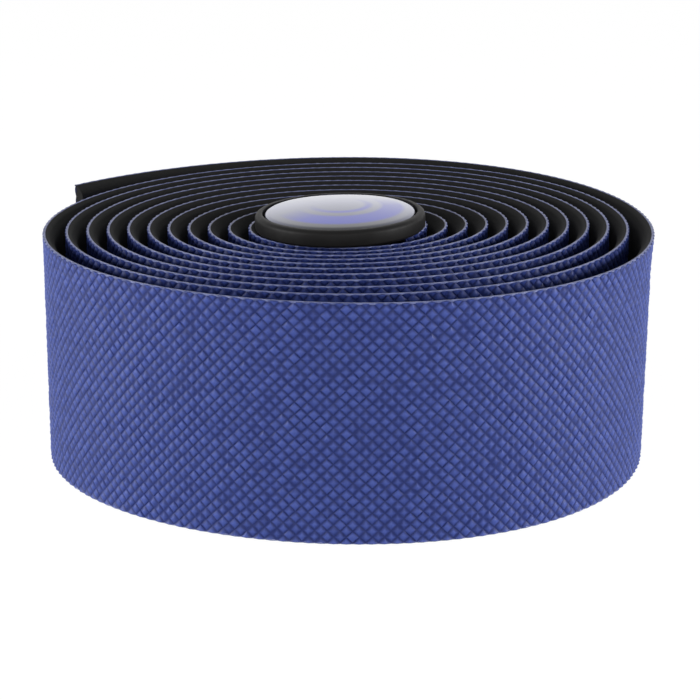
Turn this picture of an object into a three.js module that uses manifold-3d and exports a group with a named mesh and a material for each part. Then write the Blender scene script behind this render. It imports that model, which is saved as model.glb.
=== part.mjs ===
// Roll of padded handlebar tape with a domed bar end plug resting in its core.
// Millimetres, +Z up. The roll stands on the lower edges of its turns at z = 0.
import * as THREE from 'three';
import { mergeVertices } from 'three/addons/utils/BufferGeometryUtils.js';
import Module from 'manifold-3d';

const wasm = await Module();
wasm.setup();

// Tape strip
const TAPE_WIDTH = 30;            // sets how tall the roll stands
const TAPE_THICKNESS = 1.6;       // skin and foam together
const EDGE_THICKNESS = 0.55;      // what the skived edge leaves
const SKIVE_HEIGHT = 1.2;         // how far the skived slope runs down the inner face

// How the strip is rolled up, seen from above, angles counted from +X towards +Y
const OUTER_END_ANGLE = 149;      // the free end lies at the back, left of the middle
const TURN_COUNT = 11.537;
const STEPS_PER_TURN = 64;
const INNER_SLACK = 0.79;         // air per turn beside the core
const OUTER_SLACK = 1.34;         // air per turn at the outside

// Centre of the turns: inner end, halfway, outer end
const CENTRE_X = [-0.42, -0.45, -0.24];
const CENTRE_Y = [-2.91, 0.56, -0.45];
const CORE_LIFT = 1.7;            // the first turn lies further back than the next ones

// Out of round: the middle turns are oval, the outermost one is three-lobed
const OVAL = [0.43, 1.34, 0.15];
const OVAL_ANGLE = 14.3;
const LOBE = 0.9;
const LOBE_ANGLE = 68;

// Outermost turn: the free end springs away, the top edge flares and most of all at the right
const SPRING = 3.9;
const SPRING_ANGLE = 104;
const FLARE = 0.4;
const FLARE_SWING = 0.35;
const FLARE_HEIGHT = 4;
const FLARE_STARTS = 1.15;        // turns before the free end
const FLARE_FULL = 0.9;

// Bar end plug, its right side tipped up a little
const PLUG_X = -0.89;
const PLUG_Y = -3.94;
const PLUG_TILT = 1.2;
const CAP_RADIUS = 11;
const CAP_HEIGHT = 2.2;
const CAP_ROUNDING = 0.6;
const ROUNDING_STEPS = 4;
const CAP_CHAMFER = 0.3;
const STEM_LENGTH = 20;
const STEM_RADIUS = 6.5;
const RIB_RADIUS = 7.0;
const RIB_COUNT = 5;
const RIB_PITCH = 3.2;
const RIB_HEIGHT = 1.6;
const BORE_RADIUS = 5.1;
const SLOT_WIDTH = 1.8;
const SLOT_LENGTH = 13;
const SLOT_ANGLES = [0, 90];
const PLUG_SEGMENTS = 48;

// Domed insert
const DOME_RADIUS = 9.75;
const DOME_EDGE = 0.7;
const DOME_CHAMFER = 0.1;
const DOME_RISE = 0.9;
const DOME_RINGS = 6;

// Fits
const FIT_GAP = 0.3;              // insert to the walls of its recess
const REST_GAP = 0.15;            // lowest side of the cap to the tape it rests on
const CORE_GAP = 1.6;             // ribs to the innermost turn

// Colours
const TAPE_COLOUR = '#4a55a6';
const PLUG_COLOUR = '#1c1b1c';
const DOME_COLOUR = '#b9bfd2';

const CIRCLE = 360;
const rad = THREE.MathUtils.degToRad;

// The value at a fraction of the winding, from its values at the start, middle and end
function alongRoll([start, middle, end], s) {
  return start * (1 - s) * (1 - 2 * s) + middle * 4 * s * (1 - s) + end * s * (2 * s - 1);
}

// Angle seen from above after a number of turns from the inner end
function angleAt(turn) {
  return rad(OUTER_END_ANGLE - CIRCLE * (TURN_COUNT - turn));
}

// Point on the outer face of the tape after that number of turns
function facePoint(turn) {
  const s = turn / TURN_COUNT;
  const angle = angleAt(turn);
  let radius = RIB_RADIUS + CORE_GAP + TAPE_THICKNESS;
  radius += (TAPE_THICKNESS + INNER_SLACK) * turn;
  radius += (OUTER_SLACK - INNER_SLACK) * turn * turn / (2 * TURN_COUNT);
  radius += alongRoll(CENTRE_X, s) * Math.cos(angle);
  radius += (alongRoll(CENTRE_Y, s) + CORE_LIFT * Math.exp(-turn)) * Math.sin(angle);
  radius += alongRoll(OVAL, s) * Math.cos(2 * (angle - rad(OVAL_ANGLE)));
  radius += LOBE * s ** 8 * Math.cos(3 * (angle - rad(LOBE_ANGLE)));
  const toEnd = CIRCLE * (TURN_COUNT - turn) / SPRING_ANGLE;
  radius += SPRING * Math.max(0, 1 - toEnd) ** 2;
  return new THREE.Vector2(radius * Math.cos(angle), radius * Math.sin(angle));
}

// Unit vector out of the tape's outer face
function faceNormal(turn) {
  const step = 0.01;
  const along = facePoint(turn + step).sub(facePoint(turn - step)).normalize();
  return new THREE.Vector2(along.y, -along.x);
}

// How far the top edge leans out of the roll
function flareAt(turn) {
  const { smoothstep } = THREE.MathUtils;
  const share = smoothstep(turn, TURN_COUNT - FLARE_STARTS, TURN_COUNT - FLARE_FULL);
  return share * (FLARE + FLARE_SWING * Math.cos(angleAt(turn)));
}

// Section of the strip as [depth below the outer face, height], flared at its top edge
function section(flare) {
  const slope = flare * (1 - SKIVE_HEIGHT / FLARE_HEIGHT);
  return [
    [0, 0],
    [0, TAPE_WIDTH - FLARE_HEIGHT],
    [-flare, TAPE_WIDTH],
    [EDGE_THICKNESS - flare, TAPE_WIDTH],
    [TAPE_THICKNESS - slope, TAPE_WIDTH - SKIVE_HEIGHT],
    [TAPE_THICKNESS, SKIVE_HEIGHT],
    [EDGE_THICKNESS, 0],
  ];
}

// The whole strip as one closed spiral solid
function buildTape() {
  const stations = Math.ceil(TURN_COUNT * STEPS_PER_TURN);
  const size = section(0).length;
  const positions = [];
  const indices = [];
  for (let i = 0; i <= stations; i += 1) {
    const turn = TURN_COUNT * i / stations;
    const face = facePoint(turn);
    const normal = faceNormal(turn);
    for (const [depth, height] of section(flareAt(turn))) {
      positions.push(face.x - normal.x * depth, face.y - normal.y * depth, height);
    }
  }
  for (let i = 0; i < stations; i += 1) {
    for (let j = 0; j < size; j += 1) {
      const a = i * size + j;
      const b = i * size + (j + 1) % size;
      indices.push(a, b + size, b, a, a + size, b + size);
    }
  }
  // Both cut ends are fans about the section's second point, which sees all the others
  const last = stations * size;
  for (let j = 2; j < size; j += 1) {
    const k = (j + 1) % size;
    indices.push(1, j, k, last + 1, last + k, last + j);
  }
  const geometry = new THREE.BufferGeometry();
  geometry.setAttribute('position', new THREE.Float32BufferAttribute(positions, 3));
  geometry.setIndex(indices);
  return outward(geometry);
}

// Turns a closed geometry the right way out
function outward(geometry) {
  const p = geometry.getAttribute('position');
  const index = geometry.getIndex().array;
  const a = new THREE.Vector3();
  const b = new THREE.Vector3();
  const c = new THREE.Vector3();
  let volume = 0;
  for (let i = 0; i < index.length; i += 3) {
    a.fromBufferAttribute(p, index[i]);
    b.fromBufferAttribute(p, index[i + 1]);
    c.fromBufferAttribute(p, index[i + 2]);
    volume += a.dot(b.cross(c));
  }
  if (volume < 0) {
    for (let i = 0; i < index.length; i += 3) {
      [index[i + 1], index[i + 2]] = [index[i + 2], index[i + 1]];
    }
  }
  return geometry;
}

// A closed profile of [radius, height] turned about the Z axis
function turned(profile, segments) {
  const points = profile.map(([radius, height]) => new THREE.Vector2(radius, height));
  const geometry = new THREE.LatheGeometry(points, segments);
  geometry.rotateX(Math.PI / 2);
  return geometry;
}

function toSolid(geometry) {
  geometry.deleteAttribute('normal');
  geometry.deleteAttribute('uv');
  const merged = outward(withoutSlivers(mergeVertices(geometry, 1e-4)));
  return new wasm.Manifold(new wasm.Mesh({
    numProp: 3,
    vertProperties: new Float32Array(merged.getAttribute('position').array),
    triVerts: new Uint32Array(merged.getIndex().array),
  }));
}

// Drops the triangles that collapse where a profile meets its axis
function withoutSlivers(geometry) {
  const index = geometry.getIndex().array;
  const kept = [];
  for (let i = 0; i < index.length; i += 3) {
    const [a, b, c] = [index[i], index[i + 1], index[i + 2]];
    if (a !== b && b !== c && c !== a) {
      kept.push(a, b, c);
    }
  }
  geometry.setIndex(kept);
  return geometry;
}

function fromSolid(solid) {
  const mesh = solid.getMesh();
  const geometry = new THREE.BufferGeometry();
  geometry.setAttribute('position', new THREE.Float32BufferAttribute(mesh.vertProperties, 3));
  geometry.setIndex(Array.from(mesh.triVerts));
  return geometry;
}

// Plug: rimmed cap over a hollow ribbed stem with four slots, its cap's underside at height 0
function buildPlug() {
  const recessRadius = DOME_RADIUS + FIT_GAP;
  const recessFloor = CAP_HEIGHT - DOME_EDGE - FIT_GAP;
  const profile = [[0, recessFloor], [recessRadius, recessFloor], [recessRadius, CAP_HEIGHT]];
  for (let i = 0; i <= ROUNDING_STEPS; i += 1) {
    const bend = i / ROUNDING_STEPS * Math.PI / 2;
    profile.push([
      CAP_RADIUS - CAP_ROUNDING * (1 - Math.sin(bend)),
      CAP_HEIGHT - CAP_ROUNDING * (1 - Math.cos(bend)),
    ]);
  }
  profile.push([CAP_RADIUS, CAP_CHAMFER], [CAP_RADIUS - CAP_CHAMFER, 0], [STEM_RADIUS, 0]);
  for (let i = 0; i < RIB_COUNT; i += 1) {
    const top = -STEM_LENGTH + RIB_PITCH * (RIB_COUNT - i);
    profile.push([STEM_RADIUS, top], [RIB_RADIUS, top], [STEM_RADIUS, top - RIB_HEIGHT]);
  }
  profile.push([STEM_RADIUS, -STEM_LENGTH], [BORE_RADIUS, -STEM_LENGTH], [BORE_RADIUS, 0], [0, 0]);
  let solid = toSolid(turned(profile, PLUG_SEGMENTS));
  for (const angle of SLOT_ANGLES) {
    const slot = new THREE.BoxGeometry(2 * CAP_RADIUS, SLOT_WIDTH, 2 * SLOT_LENGTH);
    slot.translate(0, 0, -STEM_LENGTH);
    slot.rotateZ(rad(angle));
    solid = solid.subtract(toSolid(slot));
  }
  return fromSolid(solid);
}

// Lens-shaped insert, its underside at height 0
function buildDome() {
  const sphere = (DOME_RADIUS ** 2 + DOME_RISE ** 2) / (2 * DOME_RISE);
  const profile = [[0, 0], [DOME_RADIUS - DOME_CHAMFER, 0], [DOME_RADIUS, DOME_CHAMFER]];
  for (let i = 0; i <= DOME_RINGS; i += 1) {
    const radius = DOME_RADIUS * (1 - i / DOME_RINGS);
    const height = DOME_EDGE + DOME_RISE - sphere + Math.sqrt(sphere ** 2 - radius ** 2);
    profile.push([radius, height]);
  }
  return fromSolid(toSolid(turned(profile, PLUG_SEGMENTS)));
}

function piece(name, geometry, colour, roughness, metalness) {
  const material = new THREE.MeshStandardMaterial({ color: colour, roughness, metalness });
  const mesh = new THREE.Mesh(geometry, material);
  mesh.name = name;
  return mesh;
}

const tape = buildTape();
const plug = buildPlug();
const dome = buildDome();
dome.translate(0, 0, CAP_HEIGHT - DOME_EDGE);
for (const geometry of [plug, dome]) {
  geometry.rotateY(-rad(PLUG_TILT));
  geometry.translate(PLUG_X, PLUG_Y, TAPE_WIDTH + REST_GAP + CAP_RADIUS * Math.sin(rad(PLUG_TILT)));
}

// The middle of the roll's outline goes to the origin
tape.computeBoundingBox();
const middle = tape.boundingBox.getCenter(new THREE.Vector3());
for (const geometry of [tape, plug, dome]) {
  geometry.translate(-middle.x, -middle.y, 0);
}

const group = new THREE.Group();
group.name = 'handlebar_tape_roll';
group.add(piece('handlebar_tape', tape, TAPE_COLOUR, 0.6, 0));
group.add(piece('bar_end_plug', plug, PLUG_COLOUR, 0.45, 0));
group.add(piece('plug_insert', dome, DOME_COLOUR, 0.2, 0));

export default group;
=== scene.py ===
# %% [markdown]
# A roll of handlebar tape: a thin blue polyurethane skin, embossed with a diamond grid, on a black foam
# strip, rolled up with a bar end plug resting in its core. The imported part already has the right sizes. This
# script gives each surface its form and finish, sets a white studio round it, and places the camera.

# %% Load the imported part
import math

import bpy
import numpy as np
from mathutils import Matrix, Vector


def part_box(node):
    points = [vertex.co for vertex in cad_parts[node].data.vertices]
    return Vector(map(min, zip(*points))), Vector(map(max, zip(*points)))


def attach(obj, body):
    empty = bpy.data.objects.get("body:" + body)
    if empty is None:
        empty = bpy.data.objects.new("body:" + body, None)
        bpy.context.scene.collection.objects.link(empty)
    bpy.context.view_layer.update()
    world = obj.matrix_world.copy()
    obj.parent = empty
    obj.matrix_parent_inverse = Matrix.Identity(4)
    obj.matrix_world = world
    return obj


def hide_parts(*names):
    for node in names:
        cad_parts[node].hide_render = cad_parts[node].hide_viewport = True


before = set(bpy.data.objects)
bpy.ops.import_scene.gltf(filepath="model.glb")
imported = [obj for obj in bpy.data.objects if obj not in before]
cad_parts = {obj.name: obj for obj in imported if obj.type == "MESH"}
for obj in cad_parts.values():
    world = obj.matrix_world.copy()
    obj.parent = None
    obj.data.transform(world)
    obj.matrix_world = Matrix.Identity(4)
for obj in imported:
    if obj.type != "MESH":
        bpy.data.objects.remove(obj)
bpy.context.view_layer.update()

MM = 0.001
tape_low, tape_high = (np.array(corner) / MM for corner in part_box("handlebar_tape"))
dome_low, dome_high = (np.array(corner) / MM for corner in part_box("plug_insert"))
print("tape", tape_low.round(2), tape_high.round(2))

# %% [markdown]
# Colours are written as the sRGB hex values that an eye or a colour picker reads. Blender's shaders work in
# linear light, so one function turns them. A second one adds a shader node with its settings and its links.

# %% Colours and nodes
def linear(hex_colour):
    channels = [int(hex_colour[i:i + 2], 16) / 255 for i in (1, 3, 5)]
    return [c / 12.92 if c <= 0.04045 else ((c + 0.055) / 1.055) ** 2.4 for c in channels] + [1]


def add_node(tree, kind, inputs=None, **settings):
    node = tree.nodes.new(kind)
    for name, value in settings.items():
        setattr(node, name, value)
    for name, value in (inputs or {}).items():
        if isinstance(value, bpy.types.NodeSocket):
            tree.links.new(value, node.inputs[name])
        else:
            node.inputs[name].default_value = value
    return node


def calculate(tree, operation, *values):
    return add_node(tree, "ShaderNodeMath", dict(enumerate(values)), operation=operation).outputs[0]


def new_material(name):
    material = bpy.data.materials.new(name)
    material.use_nodes = True
    tree = material.node_tree
    tree.nodes.clear()
    return material, tree


def finish_material(tree, surface):
    add_node(tree, "ShaderNodeOutputMaterial", {"Surface": surface})

# %% [markdown]
# The strip is rolled on the same spiral as the part. A point on the tape is given by how far it lies along
# the strip from the free outer end, how high it is, and how deep it lies below the outer face. Pinning every
# layer to those three numbers keeps skin, edge and foam together wherever the roll bends.

# %% The spiral
TAPE_WIDTH = 30.0
TAPE_THICKNESS = 1.6
SKIVE_HEIGHT = 1.2
OUTER_END_ANGLE = 149.0
TURN_COUNT = 11.537
INNER_SLACK = 0.79
OUTER_SLACK = 1.34
CENTRE_X = (-0.42, -0.45, -0.24)
CENTRE_Y = (-2.91, 0.56, -0.45)
CORE_LIFT = 1.7
OVAL = (0.43, 1.34, 0.15)
OVAL_ANGLE = 14.3
LOBE = 0.9
LOBE_ANGLE = 68.0
SPRING = 3.9
SPRING_ANGLE = 104.0
FLARE = 0.4
FLARE_SWING = 0.35
FLARE_HEIGHT = 4.0
FLARE_STARTS = 1.15
FLARE_FULL = 0.9
CORE_RADIUS = 10.2                # outer face of the strip at its inner end
SOFT_LEAN = 0.7                   # share of the flare that runs down the whole wall, as soft tape does


def along_roll(values, s):
    start, middle, end = values
    return start * (1 - s) * (1 - 2 * s) + middle * 4 * s * (1 - s) + end * s * (2 * s - 1)


def angle_at(turn):
    return np.radians(OUTER_END_ANGLE - 360 * (TURN_COUNT - turn))


def face_line(turn):
    s = turn / TURN_COUNT
    angle = angle_at(turn)
    radius = CORE_RADIUS + (TAPE_THICKNESS + INNER_SLACK) * turn
    radius = radius + (OUTER_SLACK - INNER_SLACK) * turn ** 2 / (2 * TURN_COUNT)
    radius = radius + along_roll(CENTRE_X, s) * np.cos(angle)
    radius = radius + (along_roll(CENTRE_Y, s) + CORE_LIFT * np.exp(-turn)) * np.sin(angle)
    radius = radius + along_roll(OVAL, s) * np.cos(2 * (angle - math.radians(OVAL_ANGLE)))
    radius = radius + LOBE * s ** 8 * np.cos(3 * (angle - math.radians(LOBE_ANGLE)))
    to_end = 360 * (TURN_COUNT - turn) / SPRING_ANGLE
    radius = radius + SPRING * np.maximum(0, 1 - to_end) ** 2
    return np.stack([radius * np.cos(angle), radius * np.sin(angle)], axis=-1)


turns = np.linspace(TURN_COUNT, 0, 12000)
line = face_line(turns)
steps = np.linalg.norm(np.diff(line, axis=0), axis=1)
lengths = np.concatenate([[0], np.cumsum(steps)])
TAPE_LENGTH = lengths[-1]
tangents = np.gradient(line, lengths, axis=0)
normals = np.stack([-tangents[:, 1], tangents[:, 0]], axis=-1)
normals /= np.linalg.norm(normals, axis=1)[:, None]
print("tape length", round(TAPE_LENGTH), "mm")


def flare_at(along, height):
    turn = np.interp(along, lengths, turns)
    fade = np.clip((turn - TURN_COUNT + FLARE_STARTS) / (FLARE_STARTS - FLARE_FULL), 0, 1)
    fade = fade * fade * (3 - 2 * fade)
    rise = np.clip((height - TAPE_WIDTH + FLARE_HEIGHT) / FLARE_HEIGHT, 0, 1)
    rise = SOFT_LEAN * height / TAPE_WIDTH + (1 - SOFT_LEAN) * rise
    return (FLARE + FLARE_SWING * np.cos(angle_at(turn))) * fade * rise


# The part is set down with the middle of its outline at the origin; the spiral is moved there too
rim_line = line + normals * flare_at(lengths, TAPE_WIDTH)[:, None]
SHIFT = (tape_low[:2] + tape_high[:2]) / 2 - (rim_line.min(axis=0) + rim_line.max(axis=0)) / 2
line = line + SHIFT
print("spiral moved by", SHIFT.round(3), "mm")


def place(along, height, depth):
    """Metres in space for arrays of millimetres along the strip, above its lower edge and below its face."""
    x = np.interp(along, lengths, line[:, 0])
    y = np.interp(along, lengths, line[:, 1])
    nx = np.interp(along, lengths, normals[:, 0])
    ny = np.interp(along, lengths, normals[:, 1])
    out = flare_at(along, height) - depth
    return np.stack([x + nx * out, y + ny * out, height], axis=-1) * MM

# %% [markdown]
# Every piece of the roll becomes a mesh from arrays of points and faces. Shading runs smoothly over a surface
# and breaks only where it folds by more than the crease angle.

# %% Mesh helpers
def make_piece(name, points, faces, material, relief_shade=None, crease=40):
    mesh = bpy.data.meshes.new(name)
    mesh.from_pydata(points.tolist(), [], faces)
    mesh.validate()
    mesh.shade_smooth()
    mesh.set_sharp_from_angle(angle=math.radians(crease))
    # The relief values are the heights that paint shade into the skin's grooves.
    if relief_shade is not None:
        mesh.attributes.new("relief_shade", "FLOAT", "POINT").data.foreach_set("value", relief_shade.astype(np.float32))
    piece = bpy.data.objects.new(name, mesh)
    bpy.context.scene.collection.objects.link(piece)
    piece.data.materials.append(material)
    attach(piece, "root")
    print(name, len(points), "points", len(faces), "faces")
    return piece


def swept_strip(stations, section, closed, ripple=0.0):
    """Points and quads of a section of (depth, height) pairs carried along the strip."""
    along = np.repeat(stations, len(section))
    depth = np.tile([d for d, h in section], len(stations)) + ripple
    height = np.tile([h for d, h in section], len(stations))
    points = place(along, height, depth)
    size = len(section)
    across = size if closed else size - 1
    i, j = np.meshgrid(np.arange(len(stations) - 1), np.arange(across), indexing="ij")
    a = (i * size + j).ravel()
    b = (i * size + (j + 1) % size).ravel()
    return points, np.stack([a, b, b + size, a + size], axis=-1)

# %% [markdown]
# The skin is polyurethane coated on to the foam and embossed between hot rollers. Its matt, slightly waxy
# face is blue all through, in blotches of uneven tone, and its pressed grooves are painted a darker blue as
# painted shade. A grain of a quarter of a millimetre keeps the highlights soft. The foam is closed-cell EVA,
# dull and almost black.

# %% Materials of the tape
GRAIN_MM = 0.25
BLOTCH_MM = 1.1
SHEEN_DASH_MM = 0.9
CELL_MM = 0.35
SKIN_BLUE = linear("#4759a8")
# Painted shade: the darker blue of the grooves.
GROOVE_SHADE_BLUE = linear("#1d2b6a")
RIM_BLUE = linear("#46528c")
# Painted sheen: the pale grey-lilac of the folded rims.
RIM_SHEEN_PALE = linear("#7982b6")
FOAM_BLACK = linear("#1b1b1b")
FOAM_GREY = linear("#2e2e2e")


def noise_of(tree, scale_mm, detail, roughness=0.5):
    where = add_node(tree, "ShaderNodeTexCoord")
    noise = add_node(tree, "ShaderNodeTexNoise", {
        "Vector": where.outputs["Object"], "Scale": 1 / (scale_mm * MM), "Detail": detail,
        "Roughness": roughness})
    return noise.outputs["Fac"]


def bump_from(tree, height, depth_mm):
    bump = add_node(tree, "ShaderNodeBump", {"Strength": 1.0, "Distance": depth_mm * MM, "Height": height})
    return bump.outputs["Normal"]


def embossed_polyurethane():
    material, tree = new_material("embossed_polyurethane_skin")
    grain = noise_of(tree, GRAIN_MM, 3)
    relief_shade = add_node(tree, "ShaderNodeAttribute", attribute_name="relief_shade")
    # Painted shade: low points of the relief take the dark groove blue; the noise adds real blotches of tone.
    blotches_and_groove_shade = calculate(tree, "MULTIPLY_ADD", noise_of(tree, BLOTCH_MM, 2), 0.6, relief_shade.outputs["Fac"])
    lit_tops_and_blotches = add_node(tree, "ShaderNodeMapRange", {
        "Value": blotches_and_groove_shade, "From Min": 0.4, "From Max": 1.15}, clamp=True)
    colour = add_node(tree, "ShaderNodeMix", {
        "Factor": lit_tops_and_blotches.outputs["Result"], "A": GROOVE_SHADE_BLUE, "B": SKIN_BLUE}, data_type="RGBA")
    shader = add_node(tree, "ShaderNodeBsdfPrincipled", {
        "Roughness": 0.5, "IOR": 1.5, "Specular IOR Level": 0.3, "Base Color": colour.outputs["Result"],
        "Normal": bump_from(tree, grain, 0.012)})
    finish_material(tree, shader.outputs["BSDF"])
    return material


def rim_with_painted_sheen():
    material, tree = new_material("polyurethane_skin_folded_thin")
    # Painted sheen: noise breaks the rim into dashes of pale grey-lilac that stand for the studio's gleam on
    # the fold.
    sheen_dashes = add_node(tree, "ShaderNodeMapRange", {
        "Value": noise_of(tree, SHEEN_DASH_MM, 2), "From Min": 0.35, "From Max": 0.65}, clamp=True)
    colour = add_node(tree, "ShaderNodeMix", {
        "Factor": sheen_dashes.outputs["Result"], "A": RIM_BLUE, "B": RIM_SHEEN_PALE}, data_type="RGBA")
    shader = add_node(tree, "ShaderNodeBsdfPrincipled", {
        "Roughness": 0.42, "IOR": 1.5, "Specular IOR Level": 0.6, "Base Color": colour.outputs["Result"],
        "Normal": bump_from(tree, noise_of(tree, 0.3, 3), 0.03)})
    finish_material(tree, shader.outputs["BSDF"])
    return material


def eva_foam():
    material, tree = new_material("closed_cell_foam")
    cells = noise_of(tree, CELL_MM, 4, 0.7)
    colour = add_node(tree, "ShaderNodeMix", {
        "Factor": cells, "A": FOAM_BLACK, "B": FOAM_GREY}, data_type="RGBA")
    shader = add_node(tree, "ShaderNodeBsdfPrincipled", {
        "Roughness": 0.9, "IOR": 1.45, "Specular IOR Level": 0.2, "Base Color": colour.outputs["Result"],
        "Normal": bump_from(tree, cells, 0.04)})
    finish_material(tree, shader.outputs["BSDF"])
    return material


skin_material = embossed_polyurethane()
rim_material = rim_with_painted_sheen()
foam_material = eva_foam()

# %% [markdown]
# The foam strip carries everything. Its inner face is skived away towards both edges, so that the wraps lie
# flat on a handlebar. From above, that slope is the dark rim behind each blue line. The outer face stays
# hidden under the skin, a little below its grooves.

# %% Foam strip
SKIN_THICKNESS = 0.28
STATION_STEP = 0.8
foam_side = [
    (SKIN_THICKNESS, 0.12), (0.33, 0.05), (0.47, 0.05), (0.62, 0.14), (1.0, 0.54), (1.35, 0.95),
    (1.52, SKIVE_HEIGHT), (TAPE_THICKNESS, SKIVE_HEIGHT + 0.6)]
flare_start = TAPE_WIDTH - FLARE_HEIGHT
foam_section = foam_side + [(TAPE_THICKNESS, flare_start)]
foam_section += [(depth, TAPE_WIDTH - height) for depth, height in reversed(foam_side)]
foam_section += [(SKIN_THICKNESS, flare_start)]
stations = np.append(np.arange(0, TAPE_LENGTH, STATION_STEP), TAPE_LENGTH)
foam_points, foam_faces = swept_strip(stations, foam_section, closed=True)
cut_ends = [list(range(len(foam_section))), [len(foam_points) - 1 - i for i in range(len(foam_section))]]
foam = make_piece("tape_foam", foam_points, foam_faces.tolist() + cut_ends, foam_material, crease=50)
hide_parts("handlebar_tape")

# %% [markdown]
# The skin turns over both edges of the strip and stops there. That folded rim, four tenths of a millimetre
# wide, is the pale line that draws the spiral when the roll is seen from above. Its pale grey-lilac colour,
# broken into dashes, is a painted sheen.

# %% Folded edges
BORDER = 0.12                     # plain rim beside the embossed field
RELIEF = 0.24                     # depth of the embossed grooves
DIAMOND_LENGTH = 1.53
edge_side = [
    (0.06, BORDER + 0.1), (0.01, BORDER), (0.01, BORDER - 0.03), (0.03, 0.05), (0.09, 0.01), (0.16, 0.0),
    (0.34, 0.0), (0.41, 0.07)]
# The last grooves run out over the rim, so it ripples in step with the diamonds
ripple_share = (1.0, 1.0, 0.9, 0.8, 0.6, 0.4, 0.1, 0.0)
edge_stations = np.append(np.arange(0, TAPE_LENGTH, DIAMOND_LENGTH / 4), TAPE_LENGTH)
wave = 0.5 - 0.5 * np.cos(2 * np.pi * edge_stations / DIAMOND_LENGTH)
ripple = RELIEF * np.outer(wave, ripple_share).ravel()
low_points, low_faces = swept_strip(edge_stations, edge_side, False, ripple)
high_side = [(depth, TAPE_WIDTH - height) for depth, height in edge_side]
high_points, high_faces = swept_strip(edge_stations, high_side, False, ripple)
edge_points = np.concatenate([low_points, high_points])
edge_faces = np.concatenate([low_faces[:, ::-1], high_faces + len(low_points)])
make_piece("tape_folded_edges", edge_points, edge_faces.tolist(), rim_material, crease=60)

# %% [markdown]
# The diamond grid is real relief, because it breaks up the light on every turn. One diamond is four quarters,
# and each quarter runs from a raised middle over a rounded shoulder down into the groove. Rows of diamonds on
# the rims and at the free end keep only the quarters that lie on the strip. No two diamonds came out of the
# roller quite alike, so each is a little higher, larger, more slanting or further off than the next.

# %% Diamond relief
HALF_ROWS = 39
FIELD_HEIGHT = TAPE_WIDTH - 2 * BORDER
DIAMOND_HEIGHT = 2 * FIELD_HEIGHT / HALF_ROWS
QUARTERS = ((1, 1), (-1, 1), (-1, -1), (1, -1))
# Rings of a quarter: distance from the middle as a share of the half diagonal, and height as a share of
# the relief
FINE_RINGS = ((0.0, 0.92), (0.34, 0.8), (0.66, 0.42), (1.0, 0.0))
PLAIN_RINGS = ((0.0, 0.92), (0.55, 0.6), (1.0, 0.0))
# How much diamonds differ, as shares of their height and half diagonals
HEIGHT_SPREAD = 0.13
SLANT_SPREAD = 0.27
PLACE_SPREAD = 0.05
SIZE_SPREAD = 0.12
SIZE_LIMITS = (0.8, 1.2)


def diamond_centres(start, end, rows):
    """Middles of the diamonds between two places along the strip, in the given half rows."""
    centres = []
    for row in rows:
        offset = 0 if row % 2 == 0 else 0.5
        first = math.ceil(start / DIAMOND_LENGTH - offset)
        last = math.floor(end / DIAMOND_LENGTH - offset)
        for column in range(first, last + 1):
            centres.append(((column + offset) * DIAMOND_LENGTH, BORDER + row * DIAMOND_HEIGHT / 2, row))
    return np.array(centres)


def diamond_field(name, start, end, rows, rings, seed, lit_share=1.0):
    centres = diamond_centres(start, end, rows)
    chance = np.random.default_rng(seed)
    lift = chance.normal(0, HEIGHT_SPREAD, len(centres))
    lean = chance.normal(0, SLANT_SPREAD, (len(centres), 2))
    drift = chance.normal(0, PLACE_SPREAD, (len(centres), 2))
    spread = chance.normal(1, SIZE_SPREAD, len(centres))
    # The rows on the rims keep their height, so that they stay on the strip
    drift[(centres[:, 2] == 0) | (centres[:, 2] == HALF_ROWS), 1] = 0
    points, faces = [], []
    for right, up in QUARTERS:
        on_strip = np.ones(len(centres), bool)
        on_strip &= ~((centres[:, 2] == 0) & (up < 0))
        on_strip &= ~((centres[:, 2] == HALF_ROWS) & (up > 0))
        on_strip &= (centres[:, 0] + right * 0.2 > 0)
        kept = np.flatnonzero(on_strip)
        columns = []
        for share, rise in rings:
            spots = [(0, 0)] if share == 0 else [(share * right, 0), (0, share * up)]
            for across, along_up in spots:
                grown = np.clip(spread[kept], *SIZE_LIMITS) if share < 1 else 1.0
                moved = drift[kept] * (1 - share)
                u = centres[kept, 0] + (across * grown + moved[:, 0]) * DIAMOND_LENGTH / 2
                z = centres[kept, 1] + (along_up * grown + moved[:, 1]) * DIAMOND_HEIGHT / 2
                tilt = 1 + lift[kept] + lean[kept, 0] * across + lean[kept, 1] * along_up
                columns.append((u, z, np.minimum(rise * tilt, 1.0)))
        base = sum(len(block) for block in points)
        count = len(columns)
        block = np.stack([np.stack(column, axis=-1) for column in columns], axis=1)
        points.append(block.reshape(-1, 3))
        first = base + np.arange(len(kept)) * count
        order = 1 if right * up > 0 else -1
        tris = [(0, 1, 2)]
        for ring in range(1, count - 2, 2):
            tris += [(ring, ring + 2, ring + 3), (ring, ring + 3, ring + 1)]
        for tri in tris:
            faces.append(np.stack([first + k for k in tri[::order]], axis=-1))
    flat_points = np.concatenate(points)
    micrometres = (flat_points[:, :2] * 1000).round().astype(np.int64)
    first_of, joined = np.unique(micrometres, axis=0, return_index=True, return_inverse=True)[1:]
    merged = flat_points[first_of]
    faces = joined.ravel()[np.concatenate(faces)]
    space = place(merged[:, 0], merged[:, 1], RELIEF * (1 - merged[:, 2]))
    faces = faces[:, ::-1].tolist()
    # Painted shade: the relief heights, scaled down on the inner turns, darken the blue in the grooves and in
    # the gaps of the roll.
    return make_piece(name, space, faces, skin_material, merged[:, 2] * lit_share, crease=50)


outer_length = float(np.interp(TURN_COUNT - 1.12, turns[::-1], lengths[::-1]))
middle_length = TAPE_LENGTH * 0.55
RIM_ROWS = 7
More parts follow.
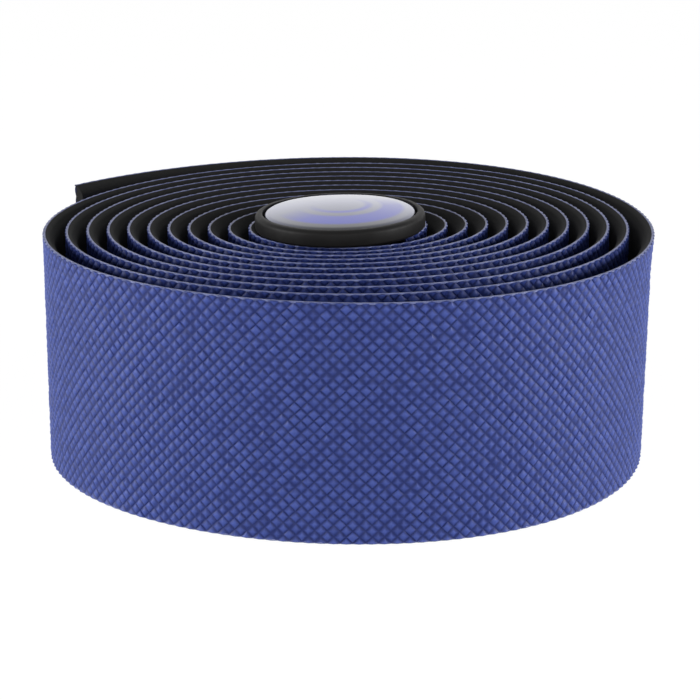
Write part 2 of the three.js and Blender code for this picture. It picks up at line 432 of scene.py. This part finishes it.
# Painted shade: the inner turns, deep in the gaps of the roll, get a darker blue to stand for the shade there.
INNER_LIT_SHARE = 0.65           # the inner turns are a duller blue, with less of the bright colour
rim_rows = list(range(RIM_ROWS)) + list(range(HALF_ROWS - RIM_ROWS + 1, HALF_ROWS + 1))
diamond_field("tape_skin_outer_turn", 0, outer_length, range(HALF_ROWS + 1), FINE_RINGS, seed=3)
diamond_field("tape_skin_middle_turns", outer_length, middle_length, rim_rows, PLAIN_RINGS, 4, INNER_LIT_SHARE)
diamond_field("tape_skin_inner_turns", middle_length, TAPE_LENGTH, rim_rows, PLAIN_RINGS, 5, INNER_LIT_SHARE)

# %% Plain skin between the rims of the inner turns, where no light reaches
hidden_low = BORDER + 2.5 * DIAMOND_HEIGHT
hidden_stations = stations[stations > outer_length - 2]
hidden_points, hidden_faces = swept_strip(
    hidden_stations, [(RELIEF * 0.9, hidden_low), (RELIEF * 0.9, TAPE_WIDTH - hidden_low)], closed=False)
make_piece(
    "tape_skin_between_rims", hidden_points, hidden_faces[:, ::-1].tolist(), skin_material,
    np.full(len(hidden_points), 0.5))

# %% [markdown]
# The plug is injection moulded nylon: black and a little waxy. The part's own solid has its shape. Its corners
# are joined and rounded by a tenth of a millimetre, so that they catch the light as a moulded edge does.

# %% Plug
def moulded_nylon():
    material, tree = new_material("moulded_black_nylon")
    grain = noise_of(tree, 0.5, 3)
    rough = add_node(tree, "ShaderNodeMapRange", {"Value": grain, "To Min": 0.4, "To Max": 0.6})
    shader = add_node(tree, "ShaderNodeBsdfPrincipled", {
        "Base Color": linear("#121111"), "IOR": 1.53, "Roughness": rough.outputs["Result"],
        "Specular IOR Level": 0.12, "Normal": bump_from(tree, grain, 0.01)})
    finish_material(tree, shader.outputs["BSDF"])
    return material


def finish_bar_end_plug():
    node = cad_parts["bar_end_plug"]
    node.data.shade_smooth()
    node.data.materials.clear()
    node.data.materials.append(moulded_nylon())
    weld = node.modifiers.new("joined_corners", "WELD")
    weld.merge_threshold = 0.001 * MM
    bevel = node.modifiers.new("moulded_edges", "BEVEL")
    bevel.width = 0.1 * MM
    bevel.segments = 2
    bevel.limit_method = "ANGLE"
    bevel.angle_limit = math.radians(30)
    bevel.harden_normals = True


finish_bar_end_plug()

# %% [markdown]
# The insert is a printed silver foil under a dome of clear polyurethane resin. The resin mirrors the white
# studio and draws down at its edge. The silver is painted dark at the front and pale towards the back, a
# painted reflection of the studio that the resin shows more where the eye grazes it. The print is a design of
# its own in the same silver, lilac and blue: a wide and a narrow arc that fade out towards the back left,
# inside a plain silver border.

# %% Insert
DOME_RADIUS = 9.75
DOME_EDGE = 0.7
DOME_RISE = 0.9
CAP_RADIUS = 11.0
CAP_HEIGHT = 2.2
REST_GAP = 0.15
PLUG_TILT = math.radians(1.2)
PLUG_X = -0.89 + SHIFT[0]
PLUG_Y = -3.94 + SHIFT[1]
PLUG_Z = TAPE_WIDTH + REST_GAP + CAP_RADIUS * math.sin(PLUG_TILT)
DOME_CENTRE = (dome_low + dome_high) / 2
RESIN_EDGE = 0.35                 # how far the resin draws down at its edge, as a liquid does
RESIN_FLOW = 0.6                  # how wide that edge is
DOME_SEGMENTS = 128


def dome_profile():
    """Pairs of radius and height from the middle of the top, over the edge, to that of the underside."""
    sphere = (DOME_RADIUS ** 2 + DOME_RISE ** 2) / (2 * DOME_RISE)
    flat_radius = DOME_RADIUS - RESIN_FLOW
    radii = list(np.linspace(0, flat_radius, 24))
    radii += [flat_radius + RESIN_FLOW * math.sin(math.radians(a)) for a in range(10, 91, 10)]
    pairs = []
    for radius in radii:
        height = DOME_EDGE + DOME_RISE - sphere + math.sqrt(sphere ** 2 - radius ** 2)
        over = max(0.0, (radius - flat_radius) / RESIN_FLOW)
        pairs.append((radius, height - RESIN_EDGE * (1 - math.sqrt(max(0.0, 1 - over ** 2)))))
    return pairs + [(DOME_RADIUS, 0.1), (DOME_RADIUS - 0.1, 0.0), (0.0, 0.0)]


def build_dome():
    profile = np.array(dome_profile())
    angles = np.linspace(0, 2 * np.pi, DOME_SEGMENTS, endpoint=False)
    rings = profile[1:-1]
    x = np.outer(rings[:, 0], np.cos(angles)).ravel()
    y = np.outer(rings[:, 0], np.sin(angles)).ravel()
    z = np.repeat(rings[:, 1], DOME_SEGMENTS)
    ends = np.array([[0, 0, profile[0, 1]], [0, 0, profile[-1, 1]]])
    points = np.concatenate([np.stack([x, y, z], axis=-1), ends]) + (0, 0, CAP_HEIGHT - DOME_EDGE)
    # The dome leans with the plug, its right side up
    cos, sin = math.cos(PLUG_TILT), math.sin(PLUG_TILT)
    across, level, high = points.T
    tipped = np.stack([across * cos - high * sin, level, across * sin + high * cos], axis=-1)
    faces = []
    top, bottom, last = len(x), len(x) + 1, (len(rings) - 1) * DOME_SEGMENTS
    for k in range(DOME_SEGMENTS):
        n = (k + 1) % DOME_SEGMENTS
        faces.append([top, k, n])
        faces.append([bottom, last + n, last + k])
        for ring in range(0, last, DOME_SEGMENTS):
            faces.append([ring + k, ring + DOME_SEGMENTS + k, ring + DOME_SEGMENTS + n, ring + n])
    return (tipped + (PLUG_X, PLUG_Y, PLUG_Z)) * MM, faces


def inside(tree, value, edge, softness=0.03):
    """One where a value is below an edge, nought above it, with a short ramp between."""
    ramp = add_node(tree, "ShaderNodeMapRange", {
        "Value": value, "From Min": edge - softness, "From Max": edge + softness, "To Min": 1.0, "To Max": 0.0},
        clamp=True)
    return ramp.outputs["Result"]


def blend(tree, factor, first, second):
    mix = add_node(tree, "ShaderNodeMix", {"Factor": factor, "A": first, "B": second}, data_type="RGBA")
    return mix.outputs["Result"]


def band(tree, value, low, high):
    return calculate(tree, "SUBTRACT", inside(tree, value, high), inside(tree, value, low))


def resin_dome():
    material, tree = new_material("silver_foil_under_clear_resin")
    where = add_node(tree, "ShaderNodeTexCoord")
    scale = 1 / (DOME_RADIUS * MM)
    centred = add_node(tree, "ShaderNodeMapping", {
        "Vector": where.outputs["Object"], "Scale": (scale, scale, 0),
        "Location": (-DOME_CENTRE[0] / DOME_RADIUS, -DOME_CENTRE[1] / DOME_RADIUS, 0)})
    spot = centred.outputs["Vector"]
    axes = add_node(tree, "ShaderNodeSeparateXYZ", {"Vector": spot})
    x, y = axes.outputs["X"], axes.outputs["Y"]
    radius = add_node(tree, "ShaderNodeVectorMath", {0: spot}, operation="LENGTH").outputs["Value"]
    wide = band(tree, radius, 0.55, 0.84)
    narrow = band(tree, radius, 0.33, 0.42)
    front = inside(tree, calculate(tree, "MULTIPLY_ADD", x, -0.6, y), -0.05, 0.3)
    print_mask = calculate(tree, "MULTIPLY", calculate(tree, "MAXIMUM", wide, narrow), front)
    # Painted reflection: the silver runs from dark at the front to pale at the back, for the studio that the
    # resin mirrors more where the eye grazes it.
    depth = add_node(tree, "ShaderNodeMapRange", {
        "Value": y, "From Min": -1.0, "From Max": 0.2}, clamp=True)
    painted_reflection_silver = blend(tree, depth.outputs["Result"], linear("#242528"), linear("#8c90ae"))
    colour = blend(tree, print_mask, painted_reflection_silver, linear("#2b38ae"))
    shader = add_node(tree, "ShaderNodeBsdfPrincipled", {
        "Base Color": colour, "Metallic": 0.8, "Roughness": 0.35, "Coat Weight": 1.0,
        "Coat Roughness": 0.05, "Coat IOR": 1.5})
    finish_material(tree, shader.outputs["BSDF"])
    return material


dome_points, dome_faces = build_dome()
dome = make_piece("resin_dome", dome_points, dome_faces, resin_dome(), crease=35)
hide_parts("plug_insert")

# %% [markdown]
# The studio is a white sweep. Soft boxes left and right brighten the sides of the roll and leave its front
# darker, and a low one in front fills it in. The floor and the world are white to the camera and in
# reflections, and give only a small share of the light, so the roll's colours stay close to those written.

# %% Studio
def area_light(name, place_at, size, watts):
    data = bpy.data.lights.new(name, "AREA")
    data.shape = "RECTANGLE"
    data.size, data.size_y = size
    data.energy = watts
    lamp = bpy.data.objects.new(name, data)
    lamp.location = place_at
    lamp.rotation_euler = (Vector((0, 0, 0.015)) - Vector(place_at)).to_track_quat("-Z", "Y").to_euler()
    bpy.context.scene.collection.objects.link(lamp)


area_light("soft_box_left", (-0.6, -0.15, 0.12), (0.5, 0.2), 3.2)
area_light("soft_box_right", (0.6, -0.15, 0.12), (0.5, 0.2), 3.4)
area_light("soft_box_front", (0.0, -0.8, 0.08), (0.8, 0.15), 2.2)

world = bpy.data.worlds.new("white_sweep")
bpy.context.scene.world = world
world.use_nodes = True
sky = world.node_tree
sky.nodes.clear()
ray = add_node(sky, "ShaderNodeLightPath")
seen = calculate(sky, "MAXIMUM", ray.outputs["Is Camera Ray"], ray.outputs["Is Transmission Ray"])
shown = calculate(sky, "MAXIMUM", seen, ray.outputs["Is Glossy Ray"])
strength = add_node(sky, "ShaderNodeMapRange", {"Value": shown, "To Min": 0.07, "To Max": 1.0})
light = add_node(sky, "ShaderNodeBackground", {"Color": (1, 1, 1, 1), "Strength": strength.outputs["Result"]})
add_node(sky, "ShaderNodeOutputWorld", {"Surface": light.outputs["Background"]})

floor_mesh = bpy.data.meshes.new("floor")
floor_mesh.from_pydata([(-3, -3, 0), (3, -3, 0), (3, 3, 0), (-3, 3, 0)], [], [(0, 1, 2, 3)])
floor = bpy.data.objects.new("floor", floor_mesh)
floor.location.z = -0.0002
bpy.context.scene.collection.objects.link(floor)


def white_floor():
    material, tree = new_material("white_paper_sweep")
    ray = add_node(tree, "ShaderNodeLightPath")
    shown = calculate(tree, "MAXIMUM", ray.outputs["Is Camera Ray"], ray.outputs["Is Glossy Ray"])
    glow = add_node(tree, "ShaderNodeEmission", {
        "Color": (1, 1, 1, 1), "Strength": calculate(tree, "MULTIPLY", shown, 1.09)})
    paper = add_node(tree, "ShaderNodeBsdfDiffuse", {"Color": linear("#e8e8e8")})
    both = add_node(tree, "ShaderNodeMixShader", {"Fac": 0.9})
    tree.links.new(paper.outputs["BSDF"], both.inputs[1])
    tree.links.new(glow.outputs["Emission"], both.inputs[2])
    finish_material(tree, both.outputs["Shader"])
    return material


floor.data.materials.append(white_floor())

# %% [markdown]
# The camera stands where the photographer's did: a third of a metre off and about sixteen degrees above the
# roll. It was found by fitting the roll's outline and the spiral's edge lines to the photograph.

# %% Camera
CAMERA_PLACE = (0.0, -307.14, 104.8)    # before the roll's outline was centred
CAMERA_AIM = (0.37, 0.0, 12.69)
FOCAL_PIXELS = 2413                     # focal length in pixels of the 700-pixel-wide picture
IMAGE_WIDTH = 700
SENSOR_WIDTH = 36.0

camera_data = bpy.data.cameras.new("camera")
camera_data.sensor_width = SENSOR_WIDTH
camera_data.lens = SENSOR_WIDTH * FOCAL_PIXELS / IMAGE_WIDTH
camera_data.clip_start = 0.01
camera = bpy.data.objects.new("camera", camera_data)
offset = Vector((SHIFT[0], SHIFT[1], 0))
place_at = (Vector(CAMERA_PLACE) + offset) * MM
aim_at = (Vector(CAMERA_AIM) + offset) * MM
camera.location = place_at
camera.rotation_euler = (aim_at - place_at).to_track_quat("-Z", "Y").to_euler()
bpy.context.scene.collection.objects.link(camera)
bpy.context.scene.camera = camera
bpy.context.scene.view_settings.view_transform = "Standard"
